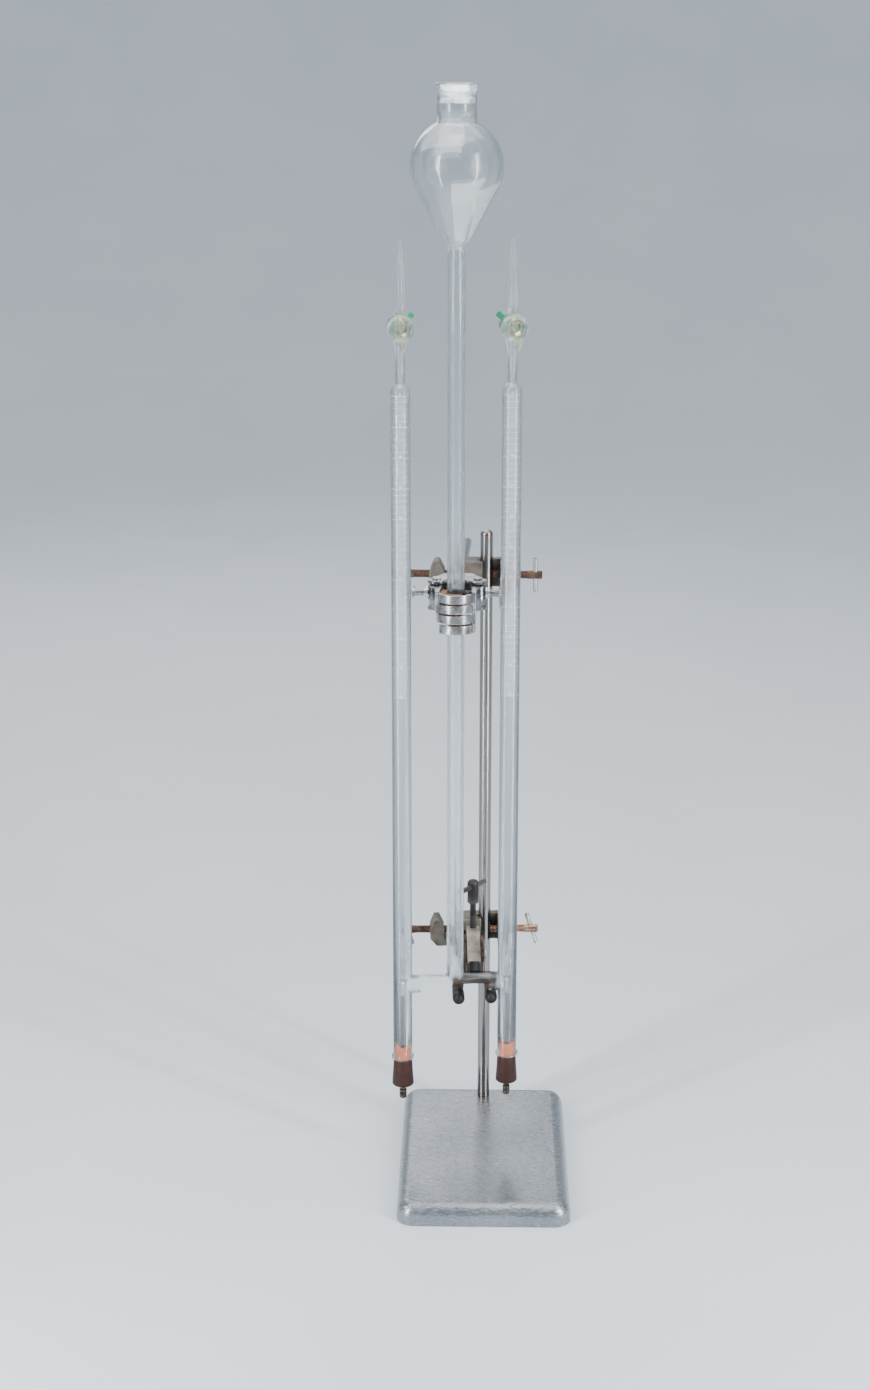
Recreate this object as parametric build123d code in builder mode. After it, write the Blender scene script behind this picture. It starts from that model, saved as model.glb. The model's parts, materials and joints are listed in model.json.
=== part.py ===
from build123d import *
import os
from math import cos, radians, sin, sqrt, tan

# Hofmann voltameter: an H-shaped glass apparatus for the electrolysis of water, held on a
# retort stand by two bossheads and two clamps. All sizes are in millimetres.
# The origin is the middle of the base's underside, +Z is up and -Y is the front.

# ---- fits -------------------------------------------------------------------------------
running = 0.05          # radial clearance of pins, screws and keys that turn
snug = 0.02             # radial clearance of parts that are pressed together
gap = 0.3               # air between separate moving pieces

# ---- stand ------------------------------------------------------------------------------
base_width, base_length, base_height = 160.0, 250.0, 20.0
base_corner, base_edge = 16.0, 12.0
base_rim, base_plate, base_rib = 6.0, 8.0, 8.0
nut_pocket_r, nut_pocket_wall = 12.5, 4.0
rod_y, rod_r, rod_top, rod_round = 103.0, 6.0, 605.0, 4.0
spigot_r, spigot_bottom = 5.0, 1.5
washer_r, washer_thickness, nut_flats, nut_height = 9.5, 1.5, 17.0, 8.0

# ---- glass ------------------------------------------------------------------------------
glass_x, glass_y, glass_turn = -28.0, 5.0, 6.0      # stem axis, and the turn of the H about it
tube_spacing = 50.0                                 # stem axis to each measuring tube
neck_r, neck_top, rim_bead = 17.3, 1013.5, 1.6
bulb_r, bulb_z, bulb_cone_angle = 40.8, 945.0, 29.0
bulb_wall, bulb_seam, neck_fillet, cone_fillet = 1.9, 864.0, 7.0, 14.0
stem_r, stem_bore = 8.0, 6.4
cross_z, cross_r, cross_bore = 185.0, 8.5, 6.9
cross_seam_x, cross_seam_z, flare_r = 33.0, 207.0, 2.5
tube_r, tube_bore, tube_bottom, tube_shoulder, mouth_bead = 9.0, 7.6, 109.0, 749.0, 2.0
neck_tube_r, neck_tube_bore, barrel_seam_z = 4.25, 2.6, 785.0
cock_z, barrel_r, barrel_half = 806.8, 9.5, 14.0
flange_r, flange_thickness, branch_foot_r = 12.0, 3.5, 7.0
plug_front_r, plug_rear_r, port_r = 7.0, 5.8, 1.25
jet_r, jet_bore, jet_seam_z, jet_taper_z, jet_top = 4.0, 1.6, 823.0, 850.0, 885.0
jet_tip_r, jet_tip_bore = 1.1, 0.55

# ---- stopcock keys ----------------------------------------------------------------------
handle_height, handle_width, handle_thickness, handle_round = 41.0, 11.0, 6.0, 1.6
key_shoulder, key_neck_r, key_neck_length, key_tail_r = 1.5, 4.5, 8.0, 4.6
handle_lean = {"left": 0.0, "right": 5.0}
retainer_r, retainer_thickness, retainer_tab = 9.0, 3.0, 16.0
tab_length, tab_width, tab_angles = 8.0, 5.0, {"left": 40, "right": 140}

# ---- electrodes -------------------------------------------------------------------------
stopper_top, stopper_bottom, stopper_small_r, stopper_large_r = 121.0, 82.0, 7.5, 10.5
sleeve_r, sleeve_bore, sleeve_bottom, sleeve_top = 3.5, 2.75, 113.0, 190.0
foil_width, foil_bottom, foil_top, foil_thickness, wire_r = 5.0, 195.0, 212.0, 0.5, 0.5
coil_r, coil_bore, coil_bottom, coil_top = 2.5, 1.6, 122.5, 174.0
lead_r, terminal_r, terminal_bottom, collar_r, collar_height = 1.4, 3.5, 67.0, 4.3, 2.0

# ---- bossheads and their screws ---------------------------------------------------------
upper_z, upper_turn = 562.0, -2.0
lower_z, lower_turn = 201.0, 2.5
boss_half_height, boss_front, boss_back = 14.0, -11.0, 15.0
web_left, web_right, groove_x = -21.5, -3.5, -25.0
right_arm_inner, right_arm_outer, rod_throat = 13.0, 24.0, 7.3
boss_bevel, boss_corner = 3.0, 7.0
left_arm_inner, left_arm_outer = -40.0, -54.0
bridge_top, arm_shoulder, arm_crown = -6.5, 4.0, 5.0
screw_r, right_screw_end, left_screw_end, bar_inset = 4.0, 53.3, -83.0, 6.5
bar_r, bar_length = 2.2, 33.0
bar_lean = {"upper": 0.0, "lower": 18.0}
shaft_r, upper_shaft_rear, lower_shaft_rear = 5.0, 150.0, 200.0

# ---- upper clamp, about the stem --------------------------------------------------------
pivot_u, pivot_v, pivot_r, ear_r = 19.0, 28.0, 2.5, 8.5
ear_top, ear_thickness, jaw_top, jaw_bottom = 10.5, 3.7, 6.5, -13.5
hub_front, hub_back, hub_half = 38.0, 56.0, 13.0
finger_inner, finger_outer, finger_height, finger_pitch, finger_first = 14.5, 17.5, 8.0, 9.5, -3.0
finger_sweep, finger_root, pad_root = 160, 10, 40
arm_front, arm_bend, arm_thickness, arm_heel_inner, arm_heel_outer = -6.0, 4.0, 4.0, 12.2, 26.0
pad_inner, pad_outer = 8.4, 14.45
thumb_v, thumb_boss_r, thumb_boss_u, thumb_hole_r = 19.0, 6.0, 20.5, 4.2
thumb_r, thumb_collar_r, thumb_wing_u, thumb_end = 2.5, 4.0, 35.5, 47.0
wing_length, wing_width, wing_thickness = 33.0, 9.0, 3.2
thumb_washer_r, thumb_washer_thickness = 5.5, 1.2

# ---- lower clamp, about the cross tube --------------------------------------------------
jaw_x, fork_half_spacing, fork_width = -13.3, 15.5, 11.0
finger_pivot_y, finger_pivot_z, finger_barrel_r = -62.0, -2.0, 6.0
cheek_inner, cheek_thickness, cheek_r = 6.5, 4.0, 7.5
hub_y_front, hub_y_back, hub_top, hub_bottom = -52.0, -38.0, 8.5, -26.0
fork_arm_width, fork_bar_front, fork_bar_depth = 14.0, -80.0, 8.0
fork_bar_top, fork_bar_bottom, fork_tip_start = -15.0, -25.0, -88.0
tip_r, tip_core_r, tip_reach = 5.9, 3.2, 14.7
finger_press_angle, finger_tip_r, finger_tip_length = 50.0, 5.5, 10.0
tee_y, tee_r, tee_head_r, tee_head_bottom, tee_head_top = -46.0, 3.0, 5.75, 45.0, 69.0
tee_bar_r, tee_bar_length, tee_bar_turn = 2.5, 38.0, 50.0
foot_r, foot_bottom, foot_top = 3.0, 8.7, 10.7

STAND = (Align.CENTER, Align.CENTER, Align.MIN)      # a solid that stands on its plane
os.makedirs("parts", exist_ok=True)


def write(builder, name):
    """Label a finished piece and write it as its own STEP file."""
    builder.part.label = name
    export_step(builder.part, f"parts/{name}.step")


def turned(x, y, z, turn):
    """A level frame at a point, turned about +Z by an angle in degrees."""
    return Plane(origin=(x, y, z), x_dir=(cos(radians(turn)), sin(radians(turn)), 0), z_dir=(0, 0, 1))


def level(frame, x=0.0, y=0.0, z=0.0):
    """A level plane at a point of a frame."""
    return Plane(origin=frame.from_local_coords(Vector(x, y, z)), x_dir=frame.x_dir, z_dir=(0, 0, 1))


def facing_front(frame, x=0.0, y=0.0, z=0.0):
    """An upright plane whose normal points to the frame's front: local x is sideways, local y is up."""
    return Plane(level(frame, x, y, z).origin, x_dir=frame.x_dir, z_dir=-frame.y_dir)


def leaned(plane, degrees):
    """A plane turned about its own normal."""
    x_dir = plane.x_dir.rotate(Axis(plane.origin, plane.z_dir), degrees)
    return Plane(plane.origin, x_dir=x_dir, z_dir=plane.z_dir)


def facing_right(frame, x=0.0, y=0.0, z=0.0):
    """An upright plane whose normal points to the frame's right: local x is backwards, local y is up."""
    return Plane(level(frame, x, y, z).origin, x_dir=frame.y_dir, z_dir=frame.x_dir)


def facing_left(frame, x=0.0, y=0.0, z=0.0):
    """An upright plane whose normal points to the frame's left: local x is forwards, local y is up."""
    return Plane(level(frame, x, y, z).origin, x_dir=-frame.y_dir, z_dir=-frame.x_dir)


def facing_back(frame, x=0.0, y=0.0, z=0.0):
    """An upright plane whose normal points to the frame's back: local x runs to the left, local y is up."""
    return Plane(level(frame, x, y, z).origin, x_dir=-frame.x_dir, z_dir=frame.y_dir)


def ring_sector(inner, outer, start, sweep):
    """Draw a sector of a ring in the open sketch; angles are in degrees from its x axis."""
    with BuildSketch(mode=Mode.PRIVATE) as sector:
        with BuildLine():
            outer_arc = CenterArc((0, 0), outer, start, sweep)
            inner_arc = CenterArc((0, 0), inner, start, sweep)
            Line(outer_arc @ 0, inner_arc @ 0)
            Line(outer_arc @ 1, inner_arc @ 1)
        make_face()
    add(sector.sketch_local)


glass = turned(glass_x, glass_y, 0, glass_turn)
stem_axis = Axis(glass.origin, (0, 0, 1))
tubes = {"left": level(glass, -tube_spacing), "right": level(glass, tube_spacing)}
bosses = {
    "upper": turned(0, rod_y, upper_z, upper_turn),
    "lower": turned(0, rod_y, lower_z, lower_turn),
}

# ============================ stand =======================================================
with BuildPart() as base:
    with BuildSketch():
        RectangleRounded(base_width, base_length, base_corner)
    extrude(amount=base_height)
    fillet(base.faces().sort_by(Axis.Z)[-1].edges(), base_edge)
    with BuildSketch():
        RectangleRounded(base_width - 2 * base_rim, base_length - 2 * base_rim, base_corner - base_rim)
        Rectangle(base_rib, base_length, mode=Mode.SUBTRACT)
        with Locations((0, rod_y)):
            Circle(nut_pocket_r + nut_pocket_wall, mode=Mode.SUBTRACT)
    extrude(amount=base_height - base_plate, mode=Mode.SUBTRACT)
    with Locations((0, rod_y, 0)):
        Cylinder(nut_pocket_r, base_height - base_plate, align=STAND, mode=Mode.SUBTRACT)
        Cylinder(spigot_r + running, base_height, align=STAND, mode=Mode.SUBTRACT)
write(base, "base")

with BuildPart() as rod:
    with Locations((0, rod_y, base_height)):
        Cylinder(rod_r, rod_top - base_height, align=STAND)
    fillet(rod.edges().sort_by(Axis.Z)[-1], rod_round)
    with Locations((0, rod_y, spigot_bottom)):
        Cylinder(spigot_r, base_height - spigot_bottom, align=STAND)
write(rod, "rod")

washer_bottom = base_height - base_plate - washer_thickness
with BuildPart() as rod_washer:
    with BuildSketch(Plane.XY.offset(washer_bottom)):
        with Locations((0, rod_y)):
            Circle(washer_r)
            Circle(spigot_r + running, mode=Mode.SUBTRACT)
    extrude(amount=washer_thickness)
write(rod_washer, "rod_washer")

with BuildPart() as rod_nut:
    with BuildSketch(Plane.XY.offset(washer_bottom - nut_height)):
        with Locations((0, rod_y)):
            RegularPolygon(nut_flats / 2, 6, major_radius=False)
            Circle(spigot_r + running, mode=Mode.SUBTRACT)
    extrude(amount=nut_height)
write(rod_nut, "rod_nut")

# ============================ glass =======================================================
cone = radians(bulb_cone_angle)
cone_top = (bulb_r * cos(cone), bulb_z - bulb_r * sin(cone))
cone_foot_z = cone_top[1] - (cone_top[0] - stem_r) / (sin(cone) / cos(cone))
neck_foot_z = bulb_z + sqrt(bulb_r ** 2 - neck_r ** 2)
with BuildPart() as reservoir:
    with BuildSketch(facing_front(glass)) as bulb_half:
        with BuildLine():
            Polyline((0, neck_top), (0, bulb_seam), (stem_r, bulb_seam), (stem_r, cone_foot_z), cone_top)
            ThreePointArc(cone_top, (bulb_r, bulb_z), (neck_r, neck_foot_z))
            Polyline((neck_r, neck_foot_z), (neck_r, neck_top), (0, neck_top))
        make_face()
        corners = bulb_half.vertices().filter_by_position(Axis.Z, neck_foot_z - 1, neck_foot_z + 1)
        fillet(corners, neck_fillet)
        corners = bulb_half.vertices().filter_by_position(Axis.Z, cone_foot_z - 1, cone_foot_z + 1)
        fillet(corners, cone_fillet)
    revolve(axis=stem_axis)
    ends = reservoir.faces().sort_by(Axis.Z)
    offset(amount=-bulb_wall, openings=[ends[0], ends[-1]])
    with BuildSketch(facing_front(glass)):
        with Locations((neck_r - bulb_wall + rim_bead, neck_top)):
            Circle(rim_bead)
    revolve(axis=stem_axis)
write(reservoir, "reservoir")

with BuildPart() as stem_tube:
    with BuildSketch(level(glass, z=cross_seam_z)):
        Circle(stem_r)
        Circle(stem_bore, mode=Mode.SUBTRACT)
    extrude(amount=bulb_seam - cross_seam_z)
write(stem_tube, "stem_tube")

with BuildPart() as cross_tube:
    with Locations(facing_right(glass, x=-cross_seam_x, z=cross_z)):
        Cylinder(cross_r, 2 * cross_seam_x, align=STAND)
    with Locations(level(glass, z=cross_z)):
        Cylinder(stem_r, cross_seam_z - cross_z, align=STAND)
    curved_joins = cross_tube.edges().filter_by(GeomType.CIRCLE, reverse=True)
    fillet(curved_joins.filter_by(GeomType.LINE, reverse=True), flare_r)
    with Locations(facing_right(glass, x=-cross_seam_x, z=cross_z)):
        Cylinder(cross_bore, 2 * cross_seam_x, align=STAND, mode=Mode.SUBTRACT)
    with Locations(level(glass, z=cross_z)):
        Cylinder(stem_bore, cross_seam_z - cross_z, align=STAND, mode=Mode.SUBTRACT)
write(cross_tube, "cross_tube")

shoulder_top = tube_shoulder + sqrt(tube_r ** 2 - neck_tube_r ** 2)
for side, frame in tubes.items():
    axis = Axis(frame.origin, (0, 0, 1))
    toward_stem = facing_right(frame, z=cross_z) if side == "left" else facing_left(frame, z=cross_z)
    stub = tube_spacing - cross_seam_x

    # graduated tube: open below, domed above, with a side branch for the cross tube
    with BuildPart() as measuring_tube:
        with BuildSketch(facing_front(frame)):
            with BuildLine():
                Polyline((0, barrel_seam_z), (0, tube_bottom), (tube_r, tube_bottom), (tube_r, tube_shoulder))
                RadiusArc((tube_r, tube_shoulder), (neck_tube_r, shoulder_top), -tube_r)
                Polyline((neck_tube_r, shoulder_top), (neck_tube_r, barrel_seam_z), (0, barrel_seam_z))
            make_face()
        revolve(axis=axis)
        with BuildSketch(facing_front(frame)):
            with Locations((tube_r - 0.1, tube_bottom + mouth_bead + 0.1)):
                Circle(mouth_bead)
        revolve(axis=axis)
        before_branch = measuring_tube.edges()
        with Locations(toward_stem):
            Cylinder(cross_r, stub, align=STAND)
        joint_line = (measuring_tube.edges() - before_branch).filter_by(GeomType.CIRCLE, reverse=True)
        fillet(joint_line.filter_by(GeomType.LINE, reverse=True), flare_r)
        with Locations(toward_stem):
            Cylinder(cross_bore, stub, align=STAND, mode=Mode.SUBTRACT)
        with BuildSketch(facing_front(frame)):
            with BuildLine():
                Polyline(
                    (0, barrel_seam_z), (0, tube_bottom), (tube_bore, tube_bottom), (tube_bore, tube_shoulder)
                )
                RadiusArc((tube_bore, tube_shoulder), (neck_tube_bore, shoulder_top), -tube_r)
                Polyline((neck_tube_bore, shoulder_top), (neck_tube_bore, barrel_seam_z), (0, barrel_seam_z))
            make_face()
        revolve(axis=axis, mode=Mode.SUBTRACT)
    write(measuring_tube, f"{side}_measuring_tube")

    # stopcock barrel: a tapered socket lying front to back, with a branch below and above
    with BuildPart() as barrel:
        with Locations(facing_front(frame, y=barrel_half, z=cock_z)):
            Cylinder(barrel_r, 2 * barrel_half, align=STAND)
            Cylinder(flange_r - 1, flange_thickness, align=STAND)
        with Locations(facing_front(frame, y=flange_thickness - barrel_half, z=cock_z)):
            Cylinder(flange_r, flange_thickness, align=STAND)
        with Locations(level(frame, z=barrel_seam_z)):
            Cone(neck_tube_r, branch_foot_r, cock_z - branch_foot_r - barrel_seam_z, align=STAND)
        with Locations(level(frame, z=cock_z)):
            Cone(branch_foot_r - 0.5, jet_r, jet_seam_z - cock_z, align=STAND)
        with Locations(level(frame, z=barrel_seam_z)):
            Cone(neck_tube_bore, port_r, cock_z - barrel_seam_z, align=STAND, mode=Mode.SUBTRACT)
        with Locations(level(frame, z=cock_z)):
            Cylinder(jet_bore, jet_seam_z - cock_z, align=STAND, mode=Mode.SUBTRACT)
        with Locations(facing_front(frame, y=barrel_half, z=cock_z)):
            Cone(
                plug_rear_r + running, plug_front_r + running, 2 * barrel_half,
                align=STAND, mode=Mode.SUBTRACT
            )
    write(barrel, f"{side}_stopcock_barrel")

    # key: the ground plug, its cross port and the flat spindle-shaped handle in front
    with BuildPart() as key:
        with Locations(facing_front(frame, y=barrel_half, z=cock_z)):
            Cone(plug_rear_r, plug_front_r, 2 * barrel_half, align=STAND)
        with Locations(facing_back(frame, y=barrel_half, z=cock_z)):
            Cylinder(key_tail_r, retainer_thickness + 1.6, align=STAND)
        with Locations(facing_front(frame, y=-barrel_half, z=cock_z)):
            Cylinder(plug_front_r, key_shoulder, align=STAND)
            Cone(plug_front_r, key_neck_r, key_neck_length, align=STAND)
        handle_plane = facing_front(frame, y=1 - barrel_half - key_neck_length, z=cock_z)
        with BuildSketch(leaned(handle_plane, handle_lean[side])) as handle:
            with BuildLine():
                tip = (0, handle_height / 2)
                foot = (0, -handle_height / 2)
                ThreePointArc(tip, (handle_width / 2, 0), foot)
                ThreePointArc(foot, (-handle_width / 2, 0), tip)
            make_face()
            fillet(handle.vertices(), handle_round)
        extrude(amount=handle_thickness)
        with Locations(level(frame, z=cock_z - 10)):
            Cylinder(port_r, 20, align=STAND, mode=Mode.SUBTRACT)
    write(key, f"{side}_stopcock_key")

    # retaining ring on the key's rear end, with its finger tab
    with BuildPart() as retainer:
        with BuildSketch(facing_front(frame, y=barrel_half + gap + retainer_thickness, z=cock_z)):
            Circle(retainer_r)
            with PolarLocations(retainer_tab - tab_length / 2, 1, start_angle=tab_angles[side]):
                Rectangle(tab_length, tab_width)
            Circle(key_tail_r + running, mode=Mode.SUBTRACT)
        extrude(amount=retainer_thickness)
    write(retainer, f"{side}_key_retainer")

    # drawn-out jet above the stopcock
    with BuildPart() as jet:
        with BuildSketch(facing_front(frame)):
            with BuildLine():
                Polyline(
                    (jet_bore, jet_seam_z), (jet_r, jet_seam_z), (jet_r, jet_taper_z), (jet_tip_r, jet_top),
                    (jet_tip_bore, jet_top), (jet_bore, jet_taper_z), (jet_bore, jet_seam_z)
                )
            make_face()
        revolve(axis=axis)
    write(jet, f"{side}_jet")

    # rubber stopper: the small end is in the tube, the wide end is below it
    with BuildPart() as stopper:
        with BuildSketch(facing_front(frame)):
            with BuildLine():
                Polyline(
                    (lead_r + running, stopper_bottom), (stopper_large_r - 1, stopper_bottom),
                    (stopper_large_r, stopper_bottom + 2), (tube_r, tube_bottom - gap),
                    (stopper_small_r, tube_bottom - gap), (stopper_small_r, stopper_top),
                    (sleeve_r + running, stopper_top), (sleeve_r + running, sleeve_bottom),
                    (lead_r + running, sleeve_bottom), (lead_r + running, stopper_bottom)
                )
            make_face()
        revolve(axis=axis)
    write(stopper, f"{side}_stopper")

    # narrow glass sleeve that seals the electrode's wire, with a bead at its closed top
    with BuildPart() as sleeve:
        with BuildSketch(facing_front(frame)):
            with BuildLine():
                Polyline(
                    (sleeve_bore, sleeve_bottom), (sleeve_r, sleeve_bottom), (sleeve_r, sleeve_top),
                    (wire_r + snug, sleeve_top + 2), (wire_r + snug, sleeve_top - 2),
                    (sleeve_bore, sleeve_top - 4), (sleeve_bore, sleeve_bottom)
                )
            make_face()
            with Locations((sleeve_r - 0.4, sleeve_top - 0.8)):
                Circle(1.1)
        revolve(axis=axis)
    write(sleeve, f"{side}_electrode_sleeve")

    # platinum foil on its wire
    with BuildPart() as foil:
        with Locations(level(frame, z=coil_top)):
            Cylinder(wire_r, foil_bottom - coil_top + 1, align=STAND)
        with Locations(level(frame, z=foil_bottom)):
            Box(foil_width, foil_thickness, foil_top - foil_bottom, align=STAND)
    write(foil, f"{side}_platinum_foil")

    # coiled lead inside the sleeve, as the space that its turns take
    with BuildPart() as coil:
        with BuildSketch(level(frame, z=coil_bottom)):
            Circle(coil_r)
            Circle(coil_bore, mode=Mode.SUBTRACT)
        extrude(amount=coil_top - coil_bottom)
    write(coil, f"{side}_lead_coil")

    # terminal post below the stopper, with the stiff lead that goes up through it
    with BuildPart() as terminal:
        with BuildSketch(facing_front(frame)):
            with BuildLine():
                Polyline(
                    (0, coil_bottom), (lead_r, coil_bottom), (lead_r, stopper_bottom - 0.2),
                    (collar_r, stopper_bottom - 0.2), (collar_r, stopper_bottom - collar_height - 0.2),
                    (terminal_r - 0.7, stopper_bottom - collar_height - 1.2),
                    (terminal_r, stopper_bottom - collar_height - 2.6),
                    (terminal_r, terminal_bottom + 2), (terminal_r - 2, terminal_bottom),
                    (0, terminal_bottom), (0, coil_bottom)
                )
            make_face()
        revolve(axis=axis)
    write(terminal, f"{side}_terminal")

# ============================ bossheads ===================================================
rod_vee = (rod_r + running) * sqrt(2)
shaft_vee = (shaft_r + running) * sqrt(2)
for place, frame in bosses.items():
    # the right-hand C holds the rod and is open to the front; the left-hand C holds the clamp's
    # shaft and is open above; both share the web between rod and shaft
    with BuildPart() as bosshead:
        with BuildSketch(level(frame, z=-boss_half_height)) as rod_side:
            with BuildLine():
                Polyline(
                    (web_left, boss_front), (web_right, boss_front), (web_right, rod_throat),
                    (right_arm_inner, rod_throat), (right_arm_inner, boss_front),
                    (right_arm_outer - boss_bevel, boss_front), (right_arm_outer, boss_front + boss_bevel),
                    (right_arm_outer, boss_back - boss_corner), (right_arm_outer - boss_corner, boss_back),
                    (web_left + boss_bevel, boss_back), (web_left, boss_back - boss_bevel), close=True
                )
            make_face()
            with BuildLine():
                Polyline((-rod_vee, 0), (web_right, web_right + rod_vee), (web_right, -web_right - rod_vee),
                         close=True)
            make_face(mode=Mode.SUBTRACT)
        extrude(amount=2 * boss_half_height)
        with BuildSketch(facing_front(frame, y=-boss_front)):
            with BuildLine():
                Polyline(
                    (web_right - 8, -boss_half_height), (web_right - 8, bridge_top),
                    (left_arm_inner, bridge_top), (left_arm_inner, arm_shoulder),
                    (left_arm_inner - arm_crown, boss_half_height),
                    (left_arm_inner - 2 * arm_crown, boss_half_height), (left_arm_outer, arm_shoulder),
                    (left_arm_outer, bridge_top), (left_arm_outer - bridge_top, -boss_half_height), close=True
                )
            make_face()
        extrude(amount=-2 * boss_front)
        with BuildSketch(facing_front(frame, y=boss_back)):
            with BuildLine():
                Polyline(
                    (groove_x + shaft_vee, 0), (web_left - 1, groove_x + shaft_vee - web_left + 1),
                    (web_left - 1, web_left - 1 - groove_x - shaft_vee), close=True
                )
            make_face()
        extrude(amount=boss_back - boss_front, mode=Mode.SUBTRACT)
        with Locations(facing_right(frame, x=right_arm_inner - 1)):
            right_hole = right_arm_outer - right_arm_inner + 2
            Cylinder(screw_r + running, right_hole, align=STAND, mode=Mode.SUBTRACT)
        with Locations(facing_left(frame, x=left_arm_inner + 1)):
            left_hole = left_arm_inner - left_arm_outer + 2
            Cylinder(screw_r + running, left_hole, align=STAND, mode=Mode.SUBTRACT)
    write(bosshead, f"{place}_bosshead")

    # clamping screws: the right one bears on the rod, the left one on the clamp's shaft
    screw_tips = {"right": rod_r + 2 * running, "left": groove_x - shaft_r - 2 * running}
    screw_ends = {"right": right_screw_end, "left": left_screw_end}
    for side in ("right", "left"):
        tip, end = screw_tips[side], screw_ends[side]
        outward = facing_right if side == "right" else facing_left
        bar_x = end - bar_inset if side == "right" else end + bar_inset
        bar_plane = leaned(facing_front(frame, x=bar_x), bar_lean[place])
        bar_axis = Plane(bar_plane.origin, x_dir=-bar_plane.z_dir, z_dir=bar_plane.y_dir)
        with BuildPart() as boss_screw:
            with Locations(outward(frame, x=tip)):
                Cylinder(screw_r, abs(end - tip), align=STAND)
            chamfer(boss_screw.edges().filter_by(GeomType.CIRCLE), 0.8)
            with Locations(bar_axis):
                Cylinder(bar_r + snug, 4 * screw_r, mode=Mode.SUBTRACT)
        write(boss_screw, f"{place}_{side}_boss_screw")

        with BuildPart() as tommy_bar:
            with Locations(bar_axis):
                Cylinder(bar_r, bar_length)
            chamfer(tommy_bar.edges().filter_by(GeomType.CIRCLE), 0.6)
        write(tommy_bar, f"{place}_{side}_tommy_bar")

# ============================ upper clamp =================================================
upper = bosses["upper"]
stem_in_upper = upper.to_local_coords(Vector(glass_x, glass_y, upper_z))
grip = level(upper, x=stem_in_upper.X, y=stem_in_upper.Y)
shaft_u = groove_x - stem_in_upper.X
upper_socket = hub_front + 4

with BuildPart() as upper_clamp_shaft:
    with Locations(facing_back(grip, x=shaft_u, y=upper_socket)):
        Cylinder(shaft_r, upper_shaft_rear - stem_in_upper.Y - upper_socket, align=STAND)
    chamfer(upper_clamp_shaft.edges().filter_by(GeomType.CIRCLE), 1)
write(upper_clamp_shaft, "upper_clamp_shaft")

ear_planes = (level(grip, z=ear_top - ear_thickness), level(grip, z=jaw_bottom - gap - ear_thickness))
with BuildPart() as upper_clamp_body:
    for ear_plane in ear_planes:
        with BuildSketch(ear_plane):
            with BuildLine():
                Polyline((-pivot_u - ear_r, pivot_v), (-hub_half, hub_back), (hub_half, hub_back),
                         (pivot_u + ear_r, pivot_v), close=True)
            make_face()
            with Locations((-pivot_u, pivot_v), (pivot_u, pivot_v)):
                Circle(ear_r)
            with Locations((-pivot_u, pivot_v), (pivot_u, pivot_v)):
                Circle(pivot_r + snug, mode=Mode.SUBTRACT)
        extrude(amount=ear_thickness)
    with BuildSketch(level(grip, z=jaw_bottom - gap - ear_thickness)):
        with Locations((0, (hub_front + hub_back) / 2)):
            Rectangle(2 * hub_half, hub_back - hub_front)
    extrude(amount=ear_top - jaw_bottom + gap + ear_thickness)
    with Locations(level(grip, y=(thumb_v + hub_front) / 2 - 3)):
        Box(12, hub_front - thumb_v + 8, 13)
    with Locations(facing_right(grip, x=-7, y=thumb_v)):
        Cylinder(thumb_r + running, 14, align=STAND, mode=Mode.SUBTRACT)
    with Locations(facing_back(grip, x=shaft_u, y=upper_socket)):
        Cylinder(shaft_r + running, 30, align=STAND, mode=Mode.SUBTRACT)
write(upper_clamp_body, "upper_clamp_body")

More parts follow.
